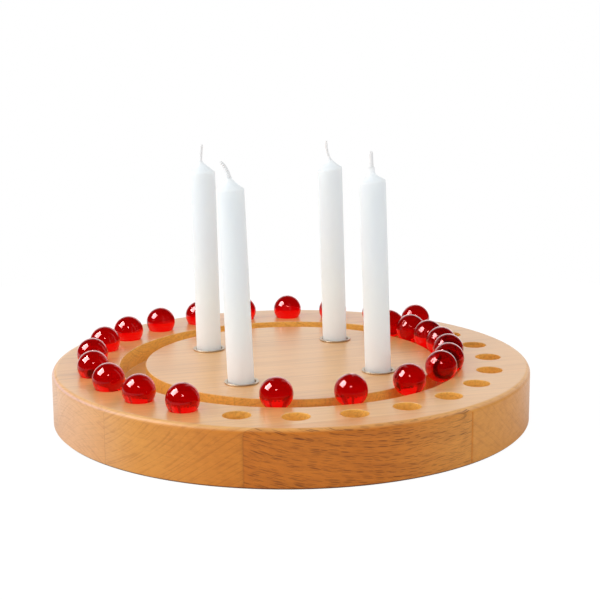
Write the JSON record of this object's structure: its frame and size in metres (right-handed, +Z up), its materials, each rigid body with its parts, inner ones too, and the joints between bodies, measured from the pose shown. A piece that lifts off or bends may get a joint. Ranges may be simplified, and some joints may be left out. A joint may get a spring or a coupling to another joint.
{
  "type": "advent candle holder",
  "caption": "Round wooden board with a ring of marble seats, a marble track and candles in metal cups, for counting the days of Advent.",
  "frame": {"origin": "middle of the board's flat underside", "axes": "+Z up along the board's axis, -Y to the front, towards the empty seats, +X to the right"},
  "size_m": [0.245, 0.245, 0.1369],
  "materials": {
    "beech": "oiled, satin",
    "cup_metal": "bright",
    "candle_wax": "waxy",
    "wick_cotton": "waxed cotton",
    "red_glass": "polished"
  },
  "bodies": {
    "base": {"plank_1": "beech", "plank_2": "beech", "plank_3": "beech", "plank_4": "beech", "plank_5": "beech", "plank_6": "beech", "cup_front_right": "cup_metal", "cup_back_right": "cup_metal", "cup_back_left": "cup_metal", "cup_front_left": "cup_metal"},
    "candle_front_right": {"candle_front_right": "candle_wax", "wick_front_right": "wick_cotton"},
    "candle_back_right": {"candle_back_right": "candle_wax", "wick_back_right": "wick_cotton"},
    "candle_back_left": {"candle_back_left": "candle_wax", "wick_back_left": "wick_cotton"},
    "candle_front_left": {"candle_front_left": "candle_wax", "wick_front_left": "wick_cotton"},
    "seat_marble_01": {"seat_marble_01": "red_glass"},
    "seat_marble_02": {"seat_marble_02": "red_glass"},
    "seat_marble_03": {"seat_marble_03": "red_glass"},
    "seat_marble_04": {"seat_marble_04": "red_glass"},
    "seat_marble_05": {"seat_marble_05": "red_glass"},
    "seat_marble_06": {"seat_marble_06": "red_glass"},
    "seat_marble_07": {"seat_marble_07": "red_glass"},
    "seat_marble_08": {"seat_marble_08": "red_glass"},
    "seat_marble_09": {"seat_marble_09": "red_glass"},
    "seat_marble_10": {"seat_marble_10": "red_glass"},
    "seat_marble_11": {"seat_marble_11": "red_glass"},
    "seat_marble_12": {"seat_marble_12": "red_glass"},
    "seat_marble_13": {"seat_marble_13": "red_glass"},
    "seat_marble_14": {"seat_marble_14": "red_glass"},
    "track_marble_01": {"track_marble_01": "red_glass"},
    "track_marble_02": {"track_marble_02": "red_glass"},
    "track_marble_03": {"track_marble_03": "red_glass"},
    "track_marble_04": {"track_marble_04": "red_glass"},
    "track_marble_05": {"track_marble_05": "red_glass"},
    "track_marble_06": {"track_marble_06": "red_glass"},
    "track_marble_07": {"track_marble_07": "red_glass"},
    "track_marble_08": {"track_marble_08": "red_glass"},
    "track_marble_09": {"track_marble_09": "red_glass"},
    "track_marble_10": {"track_marble_10": "red_glass"}
  },
  "joints": [
    {"name": "lift_candle_front_right", "type": "slide", "parent": "base", "child": "candle_front_right", "axis": [-0.0341, 0, 0.9994], "range_m": [0, 0.04]},
    {"name": "lift_candle_back_right", "type": "slide", "parent": "base", "child": "candle_back_right", "axis": [-0.0258, 0, 0.9997], "range_m": [0, 0.04]},
    {"name": "lift_candle_back_left", "type": "slide", "parent": "base", "child": "candle_back_left", "axis": [-0.015, 0, 0.9999], "range_m": [0, 0.04]},
    {"name": "lift_candle_front_left", "type": "slide", "parent": "base", "child": "candle_front_left", "axis": [-0.0382, 0, 0.9993], "range_m": [0, 0.04]},
    {"name": "lift_seat_marble_01", "type": "slide", "parent": "base", "child": "seat_marble_01", "axis": [0, 0, 1], "range_m": [0, 0.03]},
    {"name": "lift_seat_marble_02", "type": "slide", "parent": "base", "child": "seat_marble_02", "axis": [0, 0, 1], "range_m": [0, 0.03]},
    {"name": "lift_seat_marble_03", "type": "slide", "parent": "base", "child": "seat_marble_03", "axis": [0, 0, 1], "range_m": [0, 0.03]},
    {"name": "lift_seat_marble_04", "type": "slide", "parent": "base", "child": "seat_marble_04", "axis": [0, 0, 1], "range_m": [0, 0.03]},
    {"name": "lift_seat_marble_05", "type": "slide", "parent": "base", "child": "seat_marble_05", "axis": [0, 0, 1], "range_m": [0, 0.03]},
    {"name": "lift_seat_marble_06", "type": "slide", "parent": "base", "child": "seat_marble_06", "axis": [0, 0, 1], "range_m": [0, 0.03]},
    {"name": "lift_seat_marble_07", "type": "slide", "parent": "base", "child": "seat_marble_07", "axis": [0, 0, 1], "range_m": [0, 0.03]},
    {"name": "lift_seat_marble_08", "type": "slide", "parent": "base", "child": "seat_marble_08", "axis": [0, 0, 1], "range_m": [0, 0.03]},
    {"name": "lift_seat_marble_09", "type": "slide", "parent": "base", "child": "seat_marble_09", "axis": [0, 0, 1], "range_m": [0, 0.03]},
    {"name": "lift_seat_marble_10", "type": "slide", "parent": "base", "child": "seat_marble_10", "axis": [0, 0, 1], "range_m": [0, 0.03]},
    {"name": "lift_seat_marble_11", "type": "slide", "parent": "base", "child": "seat_marble_11", "axis": [0, 0, 1], "range_m": [0, 0.03]},
    {"name": "lift_seat_marble_12", "type": "slide", "parent": "base", "child": "seat_marble_12", "axis": [0, 0, 1], "range_m": [0, 0.03]},
    {"name": "lift_seat_marble_13", "type": "slide", "parent": "base", "child": "seat_marble_13", "axis": [0, 0, 1], "range_m": [0, 0.03]},
    {"name": "lift_seat_marble_14", "type": "slide", "parent": "base", "child": "seat_marble_14", "axis": [0, 0, 1], "range_m": [0, 0.03]},
    {"name": "roll_track_marble_01", "type": "hinge", "parent": "base", "child": "track_marble_01", "pos_m": [0, 0, 0.0275], "axis": [0, 0, 1], "range_deg": [-12.4, 6.5]},
    {"name": "roll_track_marble_02", "type": "hinge", "parent": "base", "child": "track_marble_02", "pos_m": [0, 0, 0.0275], "axis": [0, 0, 1], "range_deg": [-6.5, 6.1]},
    {"name": "roll_track_marble_03", "type": "hinge", "parent": "base", "child": "track_marble_03", "pos_m": [0, 0, 0.0275], "axis": [0, 0, 1], "range_deg": [-6.1, 5]},
    {"name": "roll_track_marble_04", "type": "hinge", "parent": "base", "child": "track_marble_04", "pos_m": [0, 0, 0.0275], "axis": [0, 0, 1], "range_deg": [-5, 192]},
    {"name": "roll_track_marble_05", "type": "hinge", "parent": "base", "child": "track_marble_05", "pos_m": [0, 0, 0.0275], "axis": [0, 0, 1], "range_deg": [-5, 192]},
    {"name": "roll_track_marble_06", "type": "hinge", "parent": "base", "child": "track_marble_06", "pos_m": [0, 0, 0.0275], "axis": [0, 0, 1], "range_deg": [-5, 192]},
    {"name": "roll_track_marble_07", "type": "hinge", "parent": "base", "child": "track_marble_07", "pos_m": [0, 0, 0.0275], "axis": [0, 0, 1], "range_deg": [-5, 192]},
    {"name": "roll_track_marble_08", "type": "hinge", "parent": "base", "child": "track_marble_08", "pos_m": [0, 0, 0.0275], "axis": [0, 0, 1], "range_deg": [-5, 192]},
    {"name": "roll_track_marble_09", "type": "hinge", "parent": "base", "child": "track_marble_09", "pos_m": [0, 0, 0.0275], "axis": [0, 0, 1], "range_deg": [-5, 192]},
    {"name": "roll_track_marble_10", "type": "hinge", "parent": "base", "child": "track_marble_10", "pos_m": [0, 0, 0.0275], "axis": [0, 0, 1], "range_deg": [-5, 192]}
  ],
  "couplings": [
    {"joint": "roll_track_marble_05", "follows": "roll_track_marble_04", "ratio": 1},
    {"joint": "roll_track_marble_06", "follows": "roll_track_marble_04", "ratio": 1},
    {"joint": "roll_track_marble_07", "follows": "roll_track_marble_04", "ratio": 1},
    {"joint": "roll_track_marble_08", "follows": "roll_track_marble_04", "ratio": 1},
    {"joint": "roll_track_marble_09", "follows": "roll_track_marble_04", "ratio": 1},
    {"joint": "roll_track_marble_10", "follows": "roll_track_marble_04", "ratio": 1}
  ]
}
